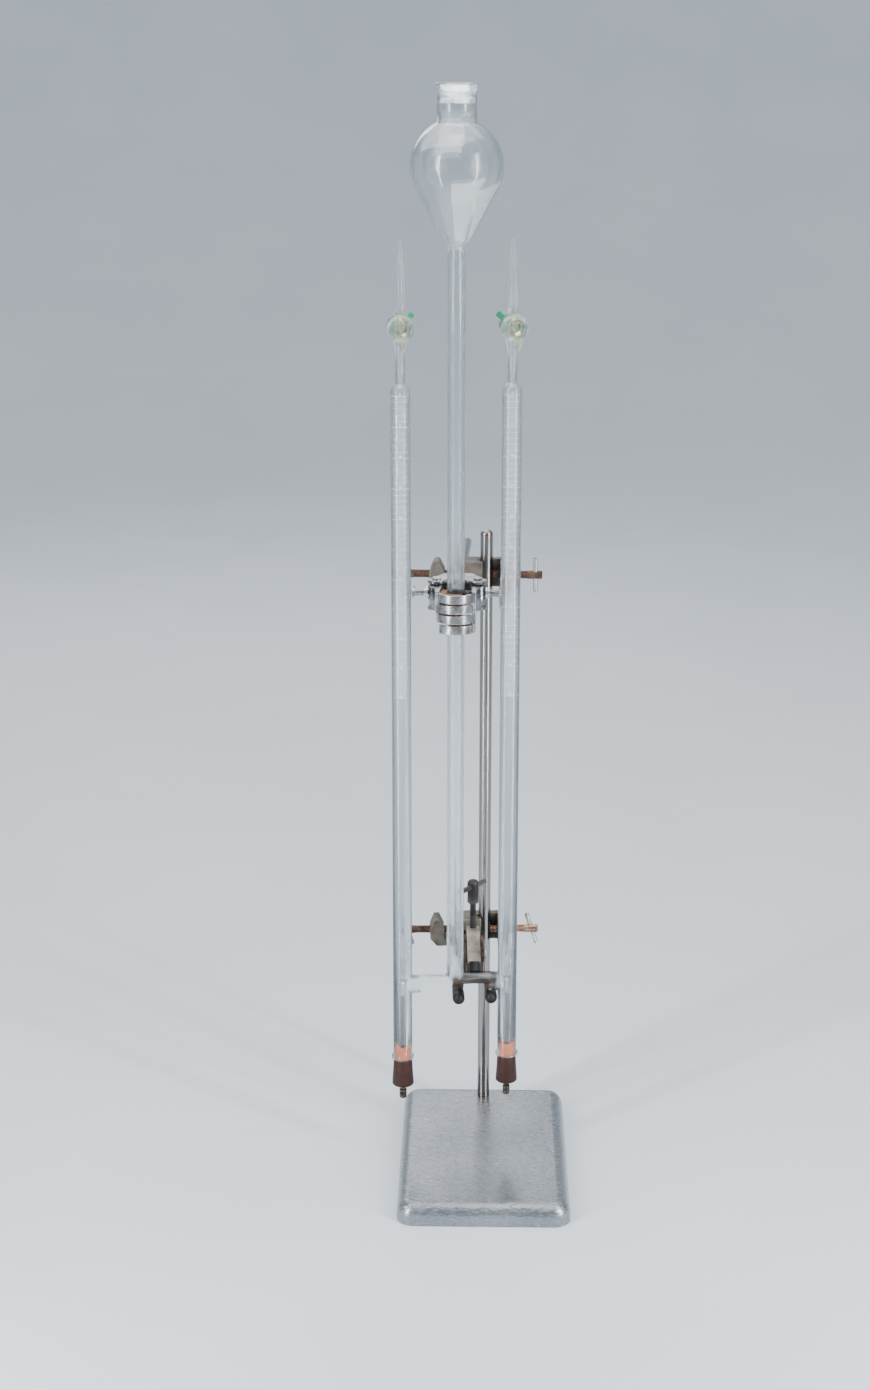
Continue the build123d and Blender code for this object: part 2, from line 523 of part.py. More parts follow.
for side, way in (("left", -1), ("right", 1)):
    # the left jaw has the first and third finger from the top, the right jaw the second and fourth
    first_finger = 0 if side == "left" else 1
    finger_feet = [finger_first - finger_pitch * (first_finger + 2 * n) for n in range(2)]
    root_angle = finger_root if side == "right" else 180 - finger_root
    pad_angle = pad_root if side == "right" else 180 - pad_root

    with BuildPart() as jaw:
        with BuildSketch(level(grip, z=jaw_bottom)):
            with Locations((way * pivot_u, pivot_v)):
                Circle(ear_r - 1.5)
            with BuildLine():
                Polyline(
                    (way * arm_heel_inner, pivot_v), (way * finger_inner, arm_bend),
                    (way * finger_inner, arm_front), (way * (finger_inner + arm_thickness), arm_front),
                    (way * (finger_inner + arm_thickness + 1), arm_bend), (way * arm_heel_outer, pivot_v),
                    close=True
                )
            make_face()
        extrude(amount=jaw_top - jaw_bottom)
        with BuildSketch(level(grip, z=finger_feet[-1])):
            with Locations((way * (finger_inner + arm_thickness / 2), (arm_front + arm_bend) / 2)):
                Rectangle(arm_thickness, arm_bend - arm_front)
        extrude(amount=jaw_top - finger_feet[-1])
        with Locations(level(grip, x=way * thumb_boss_u, y=thumb_v, z=-thumb_boss_r - 0.5)):
            Cylinder(thumb_boss_r, jaw_top + thumb_boss_r + 0.5, align=STAND)
        for foot in finger_feet:
            with BuildSketch(level(grip, z=foot)):
                ring_sector(finger_inner, finger_outer, root_angle, -finger_sweep * way)
            extrude(amount=finger_height)
        with Locations(level(grip, x=way * pivot_u, y=pivot_v, z=jaw_bottom)):
            Cylinder(pivot_r + running, jaw_top - jaw_bottom, align=STAND, mode=Mode.SUBTRACT)
        with Locations(level(grip, x=way * thumb_boss_u, y=thumb_v)):
            Cylinder(thumb_hole_r, 30, rotation=(0, 90, 0), mode=Mode.SUBTRACT)
    write(jaw, f"upper_clamp_{side}_jaw")

    with BuildPart() as pads:
        for foot in finger_feet:
            with BuildSketch(level(grip, z=foot)):
                ring_sector(pad_inner, pad_outer, pad_angle, -finger_sweep * way)
            extrude(amount=finger_height)
    write(pads, f"upper_clamp_{side}_pads")

    pin_foot = jaw_bottom - gap - ear_thickness - 1
    pin_head = ear_top + running
    with BuildPart() as pivot_pin:
        with Locations(level(grip, x=way * pivot_u, y=pivot_v, z=pin_foot)):
            Cylinder(pivot_r, pin_head - pin_foot, align=STAND)
        with Locations(level(grip, x=way * pivot_u, y=pivot_v, z=pin_head)):
            Cylinder(pivot_r + 1.5, 1.7, align=STAND)
    write(pivot_pin, f"upper_clamp_{side}_pivot_pin")

    outward = facing_right if way > 0 else facing_left
    washer_u = thumb_boss_u + thumb_boss_r + 0.2
    with BuildPart() as thumb_washer:
        with BuildSketch(outward(grip, x=way * washer_u, y=thumb_v)):
            Circle(thumb_washer_r)
            Circle(thumb_r + running, mode=Mode.SUBTRACT)
        extrude(amount=thumb_washer_thickness)
    write(thumb_washer, f"upper_clamp_{side}_washer")

    collar_u = washer_u + thumb_washer_thickness + running
    with BuildPart() as thumbscrew:
        with Locations(outward(grip, x=way, y=thumb_v)):
            Cylinder(thumb_r, thumb_end - 1, align=STAND)
        with Locations(outward(grip, x=way * collar_u, y=thumb_v)):
            Cylinder(thumb_collar_r, thumb_wing_u - collar_u, align=STAND)
        with BuildSketch(outward(grip, x=way * thumb_wing_u, y=thumb_v)):
            if side == "right":
                Ellipse(wing_width / 2, wing_length / 2)
            else:
                Ellipse(wing_length / 2, wing_width / 2)
        extrude(amount=wing_thickness)
    write(thumbscrew, f"upper_clamp_{side}_thumbscrew")

# ============================ lower clamp =================================================
lower = bosses["lower"]
stem_in_lower = lower.to_local_coords(Vector(glass_x, glass_y, cross_z))
tube_drop = stem_in_lower.Z


def tube_y(x):
    """Where the cross tube's axis lies, front to back, at a sideways place of the lower clamp."""
    return stem_in_lower.Y + (x - stem_in_lower.X) * tan(radians(glass_turn - lower_turn))


with BuildPart() as lower_clamp_shaft:
    with Locations(facing_back(lower, x=groove_x, y=hub_y_front + 4)):
        Cylinder(shaft_r, lower_shaft_rear - hub_y_front - 4, align=STAND)
    chamfer(lower_clamp_shaft.edges().filter_by(GeomType.CIRCLE), 1)
write(lower_clamp_shaft, "lower_clamp_shaft")

# body: socket for the shaft, hub, two cheeks for the finger's pivot, and the fork whose two
# fingers pass behind and under the cross tube
fork_fingers = (jaw_x - fork_half_spacing, jaw_x + fork_half_spacing)
fork_tip_z = tube_drop - tip_reach
with BuildPart() as lower_clamp_body:
    cheek_outer = cheek_inner + cheek_thickness
    for cheek_x in (jaw_x - cheek_outer, jaw_x + cheek_inner):
        with BuildSketch(facing_right(lower, x=cheek_x)):
            with Locations((finger_pivot_y, finger_pivot_z)):
                Circle(cheek_r)
            with BuildLine():
                Polyline(
                    (finger_pivot_y, finger_pivot_z + cheek_r), (hub_y_front + 2, hub_top),
                    (hub_y_front + 2, hub_bottom / 2), (finger_pivot_y, finger_pivot_z - cheek_r), close=True
                )
            make_face()
        extrude(amount=cheek_thickness)
    with BuildSketch(level(lower, z=hub_bottom)):
        with Locations((jaw_x, (hub_y_front + hub_y_back) / 2)):
            Rectangle(2 * cheek_outer, hub_y_back - hub_y_front)
    extrude(amount=hub_top - hub_bottom)
    with Locations(facing_back(lower, x=groove_x, y=hub_y_front)):
        Cylinder(hub_top, hub_y_back - hub_y_front, align=STAND)
    with BuildSketch(facing_right(lower, x=jaw_x - fork_arm_width / 2)):
        with BuildLine():
            Polyline(
                (hub_y_front + 2, -11), (hub_y_front + 2, hub_bottom), (-70, hub_bottom),
                (fork_bar_front, fork_bar_bottom), (fork_bar_front, fork_bar_top), (-70, -12), (-62, -11),
                close=True
            )
        make_face()
    extrude(amount=fork_arm_width)
    with BuildSketch(level(lower, z=fork_bar_bottom)):
        with Locations((jaw_x, fork_bar_front + fork_bar_depth / 2)):
            Rectangle(2 * fork_half_spacing + fork_width, fork_bar_depth)
    extrude(amount=fork_bar_top - fork_bar_bottom)
    for finger_x in fork_fingers:
        with BuildSketch(level(lower, z=fork_tip_z - fork_width / 2)):
            with Locations((finger_x, fork_bar_front + fork_bar_depth / 2)):
                Rectangle(fork_width, fork_bar_depth)
        extrude(amount=fork_bar_bottom - fork_tip_z + fork_width / 2 + 1)
        with Locations(facing_front(lower, x=finger_x, y=fork_bar_front + 1, z=fork_tip_z)):
            Cylinder(fork_width / 2, fork_bar_front + 1 - fork_tip_start, align=STAND)
            Cylinder(tip_core_r, fork_bar_front + 1 - tube_y(finger_x) + 3, align=STAND)
    with Locations(facing_back(lower, x=groove_x, y=hub_y_front + 4)):
        Cylinder(shaft_r + running, 30, align=STAND, mode=Mode.SUBTRACT)
    with Locations(facing_right(lower, x=jaw_x - 20, y=finger_pivot_y, z=finger_pivot_z)):
        Cylinder(pivot_r + snug, 40, align=STAND, mode=Mode.SUBTRACT)
write(lower_clamp_body, "lower_clamp_body")

# rubber sleeves on the ends of the fork's fingers, under the cross tube
for side, finger_x in zip(("left", "right"), fork_fingers):
    tip_front = tube_y(finger_x) - 4
    with BuildPart() as fork_tip:
        with Locations(facing_front(lower, x=finger_x, y=fork_tip_start, z=fork_tip_z)):
            Cylinder(tip_r, fork_tip_start - tip_front, align=STAND)
        with Locations(level(lower, x=finger_x, y=tip_front, z=fork_tip_z)):
            Sphere(tip_r)
        with Locations(facing_front(lower, x=finger_x, y=fork_tip_start, z=fork_tip_z)):
            Cylinder(tip_core_r + snug, fork_tip_start - tip_front, align=STAND, mode=Mode.SUBTRACT)
    write(fork_tip, f"lower_clamp_{side}_fork_tip")

with BuildPart() as finger_pin:
    pin_half = cheek_inner + cheek_thickness + 1.5
    with Locations(facing_right(lower, x=jaw_x - pin_half, y=finger_pivot_y, z=finger_pivot_z)):
        Cylinder(pivot_r, 2 * pin_half, align=STAND)
    with Locations(facing_right(lower, x=jaw_x + pin_half - 1.4, y=finger_pivot_y, z=finger_pivot_z)):
        Cylinder(pivot_r + 1.8, 1.4, align=STAND)
write(finger_pin, "lower_clamp_pivot_pin")

# finger: the moving jaw; it presses on the cross tube from above and behind
press_angle = radians(finger_press_angle)
press = lower.y_dir * cos(press_angle) + lower.z_dir * sin(press_angle)
tube_centre = level(lower, x=jaw_x, y=tube_y(jaw_x), z=tube_drop).origin
press_plane = Plane(tube_centre + press * (cross_r + finger_tip_length + 0.5), z_dir=-press)
end_y = tube_y(jaw_x) + cos(press_angle) * (cross_r + finger_tip_length + 0.5)
end_z = tube_drop + sin(press_angle) * (cross_r + finger_tip_length + 0.5)
with BuildPart() as finger:
    with BuildSketch(facing_right(lower, x=jaw_x - cheek_inner + gap)):
        with Locations((finger_pivot_y, finger_pivot_z)):
            Circle(finger_barrel_r)
        with BuildLine():
            Polyline(
                (-42, 13), (-42, 20), (-60, 20), (-67, 11), (-78, 7),
                (end_y - 4 * sin(press_angle), end_z + 4 * cos(press_angle)),
                (end_y + 4 * sin(press_angle), end_z - 4 * cos(press_angle)),
                (-70, -4), (-64, -7), (-57, -3), (-56, 13), close=True
            )
        make_face()
    extrude(amount=2 * (cheek_inner - gap))
    with Locations(press_plane):
        Cylinder(tip_core_r, finger_tip_length - 3, align=STAND)
    with Locations(facing_right(lower, x=jaw_x - 10, y=finger_pivot_y, z=finger_pivot_z)):
        Cylinder(pivot_r + running, 20, align=STAND, mode=Mode.SUBTRACT)
    with Locations(level(lower, x=jaw_x, y=tee_y, z=10)):
        Cylinder(tee_r + running, 14, align=STAND, mode=Mode.SUBTRACT)
write(finger, "lower_clamp_finger")

with BuildPart() as finger_tip:
    with Locations(press_plane):
        Cylinder(finger_tip_r, finger_tip_length, align=STAND)
    pressed_end = finger_tip.edges().filter_by(GeomType.CIRCLE).sort_by(Axis(tube_centre, press))[0]
    fillet(pressed_end, 2)
    with Locations(press_plane):
        Cylinder(tip_core_r + snug, finger_tip_length - 2.9, align=STAND, mode=Mode.SUBTRACT)
write(finger_tip, "lower_clamp_finger_tip")

# T-screw: threaded through the finger's rear arm, it bears on the body through a swivel foot
with BuildPart() as swivel_foot:
    with Locations(level(lower, x=jaw_x, y=tee_y, z=foot_bottom)):
        Cylinder(foot_r, foot_top - foot_bottom, align=STAND)
    with Locations(level(lower, x=jaw_x, y=tee_y, z=foot_bottom + 0.4)):
        Cylinder(1.55, 3, align=STAND, mode=Mode.SUBTRACT)
write(swivel_foot, "tee_screw_foot")

with BuildPart() as tee_screw:
    with Locations(level(lower, x=jaw_x, y=tee_y, z=foot_bottom + 0.5)):
        Cylinder(1.5, 3, align=STAND)
    with Locations(level(lower, x=jaw_x, y=tee_y, z=foot_top + gap)):
        Cylinder(tee_r, tee_head_bottom - foot_top - gap + 1, align=STAND)
    with Locations(level(lower, x=jaw_x, y=tee_y, z=tee_head_bottom)):
        Cylinder(tee_head_r, tee_head_top - tee_head_bottom, align=STAND)
    tee_bar_direction = lower.x_dir.rotate(Axis.Z, tee_bar_turn)
    tee_bar_plane = Plane(level(lower, x=jaw_x, y=tee_y, z=tee_head_top - 7).origin, z_dir=tee_bar_direction)
    with Locations(tee_bar_plane):
        Cylinder(tee_bar_r + snug, 20, mode=Mode.SUBTRACT)
write(tee_screw, "tee_screw")

with BuildPart() as tee_bar:
    with Locations(tee_bar_plane):
        Cylinder(tee_bar_r, tee_bar_length)
    chamfer(tee_bar.edges().filter_by(GeomType.CIRCLE), 0.7)
write(tee_bar, "tee_bar")
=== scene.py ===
import json
import math

import bmesh
import bpy
from mathutils import Matrix, Vector, noise
from mathutils.bvhtree import BVHTree


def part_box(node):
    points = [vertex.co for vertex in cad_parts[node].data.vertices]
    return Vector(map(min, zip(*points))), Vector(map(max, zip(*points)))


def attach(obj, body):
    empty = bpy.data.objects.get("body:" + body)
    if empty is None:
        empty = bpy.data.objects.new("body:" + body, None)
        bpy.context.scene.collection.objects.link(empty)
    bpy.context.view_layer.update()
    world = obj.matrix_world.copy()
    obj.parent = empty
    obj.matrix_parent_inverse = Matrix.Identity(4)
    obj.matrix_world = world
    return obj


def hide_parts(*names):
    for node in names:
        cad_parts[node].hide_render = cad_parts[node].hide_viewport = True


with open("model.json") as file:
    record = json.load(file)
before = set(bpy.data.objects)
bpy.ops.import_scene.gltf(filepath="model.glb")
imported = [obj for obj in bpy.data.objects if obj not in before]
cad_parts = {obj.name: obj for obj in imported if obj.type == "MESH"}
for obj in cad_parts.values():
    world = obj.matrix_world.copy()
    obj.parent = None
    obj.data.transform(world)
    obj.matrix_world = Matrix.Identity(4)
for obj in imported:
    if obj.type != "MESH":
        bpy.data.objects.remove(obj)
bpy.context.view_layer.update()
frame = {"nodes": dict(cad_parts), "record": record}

# Looks of a Hofmann voltameter on its retort stand. Lengths are in metres, in the CAD model's frame.
record = frame["record"]
MM = 0.001
slot_of = {part["node"]: part["material_slot"] for part in record["subparts"]}
body_of = {node: body for body, nodes in record["behaviour"]["bodies"].items() for node in nodes}
joint_of = {joint["name"]: joint for joint in record["behaviour"]["joints"]}
SIDES = ("left", "right")


# ============================ materials ===================================================
def new_material(name):
    """A node material: the material, its node tree and its main shader."""
    material = bpy.data.materials.new(name)
    material.use_nodes = True
    return material, material.node_tree, material.node_tree.nodes["Principled BSDF"]


def noise_field(tree, scale, detail=4.0, stretch=(1, 1, 1), distortion=0.0):
    """A noise value over the object's own coordinates; scale is in features per metre."""
    coordinates = tree.nodes.new("ShaderNodeTexCoord")
    mapping = tree.nodes.new("ShaderNodeMapping")
    mapping.inputs["Scale"].default_value = stretch
    texture = tree.nodes.new("ShaderNodeTexNoise")
    texture.inputs["Scale"].default_value = scale
    texture.inputs["Detail"].default_value = detail
    texture.inputs["Distortion"].default_value = distortion
    tree.links.new(coordinates.outputs["Object"], mapping.inputs["Vector"])
    tree.links.new(mapping.outputs["Vector"], texture.inputs["Vector"])
    return texture.outputs["Fac"]


def height_mask(tree, low, high, below=0, above=1):
    """A value that changes from below to above between two heights, in metres above the bench."""
    coordinates = tree.nodes.new("ShaderNodeTexCoord")
    split = tree.nodes.new("ShaderNodeSeparateXYZ")
    tree.links.new(coordinates.outputs["Object"], split.inputs["Vector"])
    return remap(tree, split.outputs["Z"], low, high, below, above)


def remap(tree, value, from_low, from_high, to_low, to_high):
    """A value carried from one range to another, held at its ends."""
    node = tree.nodes.new("ShaderNodeMapRange")
    ends = {"From Min": from_low, "From Max": from_high, "To Min": to_low, "To Max": to_high}
    for socket, number in ends.items():
        node.inputs[socket].default_value = number
    tree.links.new(value, node.inputs["Value"])
    return node.outputs["Result"]


def product(tree, first, second):
    """Two values multiplied."""
    node = tree.nodes.new("ShaderNodeMath")
    node.operation = "MULTIPLY"
    tree.links.new(first, node.inputs[0])
    tree.links.new(second, node.inputs[1])
    return node.outputs["Value"]


def blend_colour(tree, factor, first, second):
    """Two colours, each an RGB triple or a socket, blended by a value."""
    node = tree.nodes.new("ShaderNodeMix")
    node.data_type = "RGBA"
    tree.links.new(factor, node.inputs["Factor"])
    colour_sockets = [s for s in node.inputs if s.type == "RGBA"]
    for socket, colour in zip(colour_sockets, (first, second)):
        if isinstance(colour, tuple):
            socket.default_value = (*colour, 1)
        else:
            tree.links.new(colour, socket)
    return next(s for s in node.outputs if s.type == "RGBA")


def add_bump(tree, shader, height, strength, distance):
    """Bump from a height value; distance is the depth in metres."""
    bump = tree.nodes.new("ShaderNodeBump")
    bump.inputs["Strength"].default_value = strength
    bump.inputs["Distance"].default_value = distance
    tree.links.new(height, bump.inputs["Height"])
    tree.links.new(bump.outputs["Normal"], shader.inputs["Normal"])


def surface(
    name, light, dark, metallic=0.0, rough=(0.3, 0.5), patch=60, grain=900, bump=0.3, depth=0.0001,
    stretch=(1, 1, 1), stain=None, stain_from=0.58, wear=None, specular=0.5
):
    """A worn solid: patches of two colours, stains, worn edges, and grain in its gloss and bump.

    Patch and grain are in features per metre, depth is in metres, and rough is the range of roughness.
    """
    material, tree, shader = new_material(name)
    patches = remap(tree, noise_field(tree, patch, 6, stretch), 0.35, 0.65, 0, 1)
    colour = blend_colour(tree, patches, dark, light)
    if stain:
        mask = remap(tree, noise_field(tree, patch * 2.3, 8), stain_from, stain_from + 0.06, 0, 1)
        colour = blend_colour(tree, mask, colour, stain)
    if wear:
        geometry = tree.nodes.new("ShaderNodeNewGeometry")
        edge = remap(tree, geometry.outputs["Pointiness"], 0.52, 0.60, 0, 0.8)
        colour = blend_colour(tree, edge, colour, wear)
    tree.links.new(colour, shader.inputs["Base Color"])
    fine = noise_field(tree, grain, 5, stretch)
    tree.links.new(remap(tree, fine, 0.3, 0.7, *rough), shader.inputs["Roughness"])
    shader.inputs["Metallic"].default_value = metallic
    shader.inputs["Specular IOR Level"].default_value = specular
    add_bump(tree, shader, fine, bump, depth)
    return material


def clear_glass(name, tint, shade, painted_edge_shade, facing_alpha, edge_alpha, ior=1.47):
    """Drawn glass: faint streaks along its length, clear where it is faced, denser at its edges, where
    painted shade darkens its colour.
    """
    material, tree, shader = new_material(name)
    streaks = noise_field(tree, 220, 3, (1, 1, 0.04))
    facing = tree.nodes.new("ShaderNodeLayerWeight")
    facing.inputs["Blend"].default_value = 0.35
    edge = remap(tree, facing.outputs["Facing"], 0.35, 0.85, 0, 1)
    # Painted shade: the colour turns to the dark edge colour where the glass is seen at a grazing angle.
    colour = blend_colour(tree, edge, blend_colour(tree, streaks, shade, tint), painted_edge_shade)
    tree.links.new(colour, shader.inputs["Base Color"])
    tree.links.new(remap(tree, noise_field(tree, 90, 6), 0.45, 0.8, 0.0, 0.04), shader.inputs["Roughness"])
    shader.inputs["Transmission Weight"].default_value = 1.0
    shader.inputs["IOR"].default_value = ior
    alpha = remap(tree, facing.outputs["Facing"], 0.05, 0.75, facing_alpha, edge_alpha)
    tree.links.new(alpha, shader.inputs["Alpha"])
    add_bump(tree, shader, streaks, 0.25, 0.00006)
    return material


def hammertone():
    """Silver hammer-finish paint: flattened ripples across the base with a painted highlight on them,
    bright metal flake and fine dust.
    """
    material, tree, shader = new_material("hammertone_paint")
    ripple = noise_field(tree, 480, 2, (0.36, 1, 1), 0.5)
    flake = noise_field(tree, 2600, 2)
    cloud = noise_field(tree, 14, 4)
    clouded = remap(tree, cloud, 0.3, 0.7, 0, 1)
    colour = blend_colour(tree, clouded, (0.20, 0.22, 0.245), (0.265, 0.285, 0.31))
    # Painted highlight: the colour is lighter on the ripple crests, as if they caught the light.
    colour = blend_colour(tree, remap(tree, ripple, 0.45, 0.65, 0, 0.30), colour, (0.43, 0.45, 0.47))
    colour = blend_colour(tree, remap(tree, flake, 0.55, 0.7, 0, 0.5), colour, (0.40, 0.42, 0.44))
    speck = remap(tree, noise_field(tree, 120, 2), 0.76, 0.78, 0, 1)
    tree.links.new(blend_colour(tree, speck, colour, (0.10, 0.10, 0.10)), shader.inputs["Base Color"])
    tree.links.new(remap(tree, ripple, 0.3, 0.7, 0.22, 0.36), shader.inputs["Roughness"])
    shader.inputs["Metallic"].default_value = 0.85
    shader.inputs["Coat Weight"].default_value = 0.25
    shader.inputs["Coat Roughness"].default_value = 0.18
    add_bump(tree, shader, ripple, 1.0, 0.00065)
    return material


def rod_steel():
    """Polished steel with lengthways streaks, rusty at the rod's foot and in a ring below its round end."""
    material, tree, shader = new_material("rod_steel")
    streaks = noise_field(tree, 700, 3, (1, 1, 0.02))
    colour = blend_colour(tree, streaks, (0.13, 0.125, 0.12), (0.40, 0.39, 0.38))
    ring_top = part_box("rod")[1].z - 3.2 * MM
    ring = remap(tree, noise_field(tree, 300, 4), 0.3, 0.6, 0.2, 0.9)
    ring = product(tree, ring, height_mask(tree, ring_top - 2.2 * MM, ring_top - 1.4 * MM))
    ring = product(tree, ring, height_mask(tree, ring_top - 0.8 * MM, ring_top, below=1, above=0))
    colour = blend_colour(tree, ring, colour, (0.30, 0.12, 0.04))
    foot = height_mask(tree, 20 * MM, 29 * MM, below=1, above=0)
    spots = product(tree, foot, remap(tree, noise_field(tree, 420, 4), 0.42, 0.62, 0, 1))
    colour = blend_colour(tree, spots, colour, (0.20, 0.10, 0.05))
    tree.links.new(colour, shader.inputs["Base Color"])
    tree.links.new(remap(tree, streaks, 0.3, 0.7, 0.12, 0.26), shader.inputs["Roughness"])
    shader.inputs["Metallic"].default_value = 1.0
    add_bump(tree, shader, streaks, 0.15, 0.00003)
    return material


def stopper_rubber():
    """Red rubber: bright orange-pink above the tube's mouth, near black below it."""
    material, tree, shader = new_material("stopper_rubber")
    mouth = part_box("left_measuring_tube")[0].z
    inside = height_mask(tree, mouth - 0.5 * MM, mouth + 2.5 * MM)
    cloud = noise_field(tree, 160, 6)
    lower = blend_colour(tree, cloud, (0.010, 0.005, 0.004), (0.050, 0.015, 0.010))
    upper = blend_colour(tree, cloud, (0.55, 0.13, 0.070), (0.88, 0.30, 0.18))
    tree.links.new(blend_colour(tree, inside, lower, upper), shader.inputs["Base Color"])
    tree.links.new(remap(tree, noise_field(tree, 900, 4), 0.3, 0.7, 0.38, 0.62), shader.inputs["Roughness"])
    shader.inputs["Specular IOR Level"].default_value = 0.25
    add_bump(tree, shader, noise_field(tree, 1400, 4), 0.35, 0.00008)
    return material


WORN_SURFACES = {
    "fastener_steel": dict(
        light=(0.55, 0.53, 0.50), dark=(0.34, 0.33, 0.31), metallic=1.0, rough=(0.25, 0.5),
        stain=(0.22, 0.13, 0.07), stain_from=0.66
    ),
    "retainer_plastic": dict(
        light=(0.02, 0.30, 0.15), dark=(0.01, 0.20, 0.10), metallic=0.0, rough=(0.25, 0.42), depth=0.00005
    ),
    "platinum": dict(
        light=(0.86, 0.85, 0.83), dark=(0.66, 0.65, 0.63), metallic=1.0, rough=(0.12, 0.3), patch=400,
        grain=1500, bump=0.4
    ),
    "lead_wire": dict(
        light=(0.05, 0.04, 0.035), dark=(0.015, 0.013, 0.012), metallic=0.6, rough=(0.35, 0.6), patch=300,
        grain=2000
    ),
    "terminal_metal": dict(
        light=(0.12, 0.10, 0.085), dark=(0.03, 0.027, 0.025), metallic=0.9, rough=(0.2, 0.45), patch=260,
        grain=1500, stain=(0.45, 0.41, 0.36), stain_from=0.64
    ),
    "worn_cast_iron": dict(
        light=(0.135, 0.118, 0.098), dark=(0.045, 0.040, 0.036), metallic=0.3, rough=(0.42, 0.7), patch=70,
        grain=700, bump=0.5, depth=0.0003, stain=(0.15, 0.09, 0.05), stain_from=0.60,
        wear=(0.36, 0.32, 0.27), specular=0.3
    ),
    "brown_casting": dict(
        light=(0.095, 0.068, 0.054), dark=(0.030, 0.023, 0.019), metallic=0.25, rough=(0.5, 0.75), patch=80,
        grain=600, bump=0.6, depth=0.0004, stain=(0.14, 0.07, 0.038), stain_from=0.58,
        wear=(0.27, 0.22, 0.18), specular=0.3
    ),
    "rusty_steel": dict(
        light=(0.15, 0.078, 0.050), dark=(0.045, 0.028, 0.022), metallic=0.6, rough=(0.35, 0.65), patch=120,
        grain=1500, bump=0.4, depth=0.0001, stain=(0.26, 0.16, 0.11), stain_from=0.62
    ),
    "brass_screw": dict(
        light=(0.62, 0.40, 0.29), dark=(0.30, 0.18, 0.12), metallic=1.0, rough=(0.16, 0.36), patch=150,
        grain=1500, bump=0.3, depth=0.00008, stain=(0.80, 0.66, 0.54), stain_from=0.62
    ),
    "dark_steel": dict(
        light=(0.075, 0.070, 0.070), dark=(0.022, 0.022, 0.022), metallic=0.8, rough=(0.3, 0.5), patch=150,
        grain=1200, bump=0.3, depth=0.0001, wear=(0.8, 0.8, 0.8)
    ),
    "bright_bar": dict(
        light=(0.72, 0.69, 0.65), dark=(0.34, 0.31, 0.28), metallic=1.0, rough=(0.08, 0.2), patch=200,
        grain=1500, bump=0.2, depth=0.00005
    ),
    "nickel_plate": dict(
        light=(0.40, 0.40, 0.41), dark=(0.17, 0.17, 0.175), metallic=1.0, rough=(0.16, 0.38), patch=110,
        grain=1100, bump=0.3, depth=0.0001, stain=(0.20, 0.14, 0.10), stain_from=0.64,
        wear=(0.88, 0.87, 0.85)
    ),
    "cork": dict(
        light=(0.36, 0.17, 0.07), dark=(0.13, 0.055, 0.02), metallic=0.0, rough=(0.6, 0.85), patch=260,
        grain=900, bump=0.8, depth=0.0004, stain=(0.06, 0.025, 0.01), stain_from=0.57
    ),
    "black_rubber": dict(
        light=(0.012, 0.011, 0.011), dark=(0.004, 0.004, 0.004), metallic=0.0, rough=(0.35, 0.6), patch=130,
        grain=800, bump=0.4, depth=0.00015, stain=(0.03, 0.025, 0.022), stain_from=0.64, specular=0.25
    ),
    "black_screw": dict(
        light=(0.020, 0.018, 0.017), dark=(0.006, 0.006, 0.006), metallic=0.3, rough=(0.3, 0.5), patch=110,
        grain=900, bump=0.4, depth=0.00015, stain=(0.08, 0.04, 0.022), stain_from=0.66,
        wear=(0.16, 0.14, 0.13), specular=0.3
    ),
}
materials = {
    "hammertone_paint": hammertone(),
    "rod_steel": rod_steel(),
    "stopper_rubber": stopper_rubber(),
    # The dark edge colours of both glasses below are painted shade for the glass's edges.
    "clear_glass": clear_glass(
        "clear_glass", tint=(0.97, 0.99, 1.0), shade=(0.90, 0.95, 0.97), painted_edge_shade=(0.14, 0.22, 0.30),
        facing_alpha=0.7, edge_alpha=1.0
    ),
    "key_glass": clear_glass(
        "key_glass", tint=(0.99, 0.96, 0.80), shade=(0.92, 0.88, 0.62), painted_edge_shade=(0.42, 0.39, 0.24),
        facing_alpha=0.9, edge_alpha=1.0
    ),
}
for name, look in WORN_SURFACES.items():
    materials[name] = surface(name, **look)
for node, piece in frame["nodes"].items():
    piece.data.materials.clear()
    piece.data.materials.append(materials[slot_of[node]])


# ============================ mesh helpers ================================================
def add_piece(name, shape, nodes, slot=None, smooth_angle=40):
    """Make a piece of a bmesh that stands for CAD nodes, rides on their body and has their material."""
    mesh = bpy.data.meshes.new(name)
    shape.to_mesh(mesh)
    shape.free()
    mesh.shade_smooth()
    mesh.set_sharp_from_angle(angle=math.radians(smooth_angle))
    piece = bpy.data.objects.new(name, mesh)
    bpy.context.collection.objects.link(piece)
    slot = slot or slot_of[nodes[0]]
    mesh.materials.append(materials[slot])
    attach(piece, body_of[nodes[0]])
    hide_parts(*nodes)
    return piece


def joint_place(joint_name):
    """A joint's own frame: origin on its axis, +Z along it."""
    joint = joint_of[joint_name]
    direction = Vector(joint["axis"]).normalized()
    turn = direction.to_track_quat("Z", "Y").to_matrix().to_4x4()
    return Matrix.Translation(Vector(joint["pos_m"])) @ turn


def span(place, nodes):
    """The lowest and highest place of CAD nodes along a frame's +Z."""
    back = place.inverted()
    heights = [(back @ v.co).z for node in nodes for v in frame["nodes"][node].data.vertices]
    return min(heights), max(heights)


def upright(node):
    """A frame on the vertical middle line of a CAD node, at bench height."""
    low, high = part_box(node)
    return Matrix.Translation(((low.x + high.x) / 2, (low.y + high.y) / 2, 0))


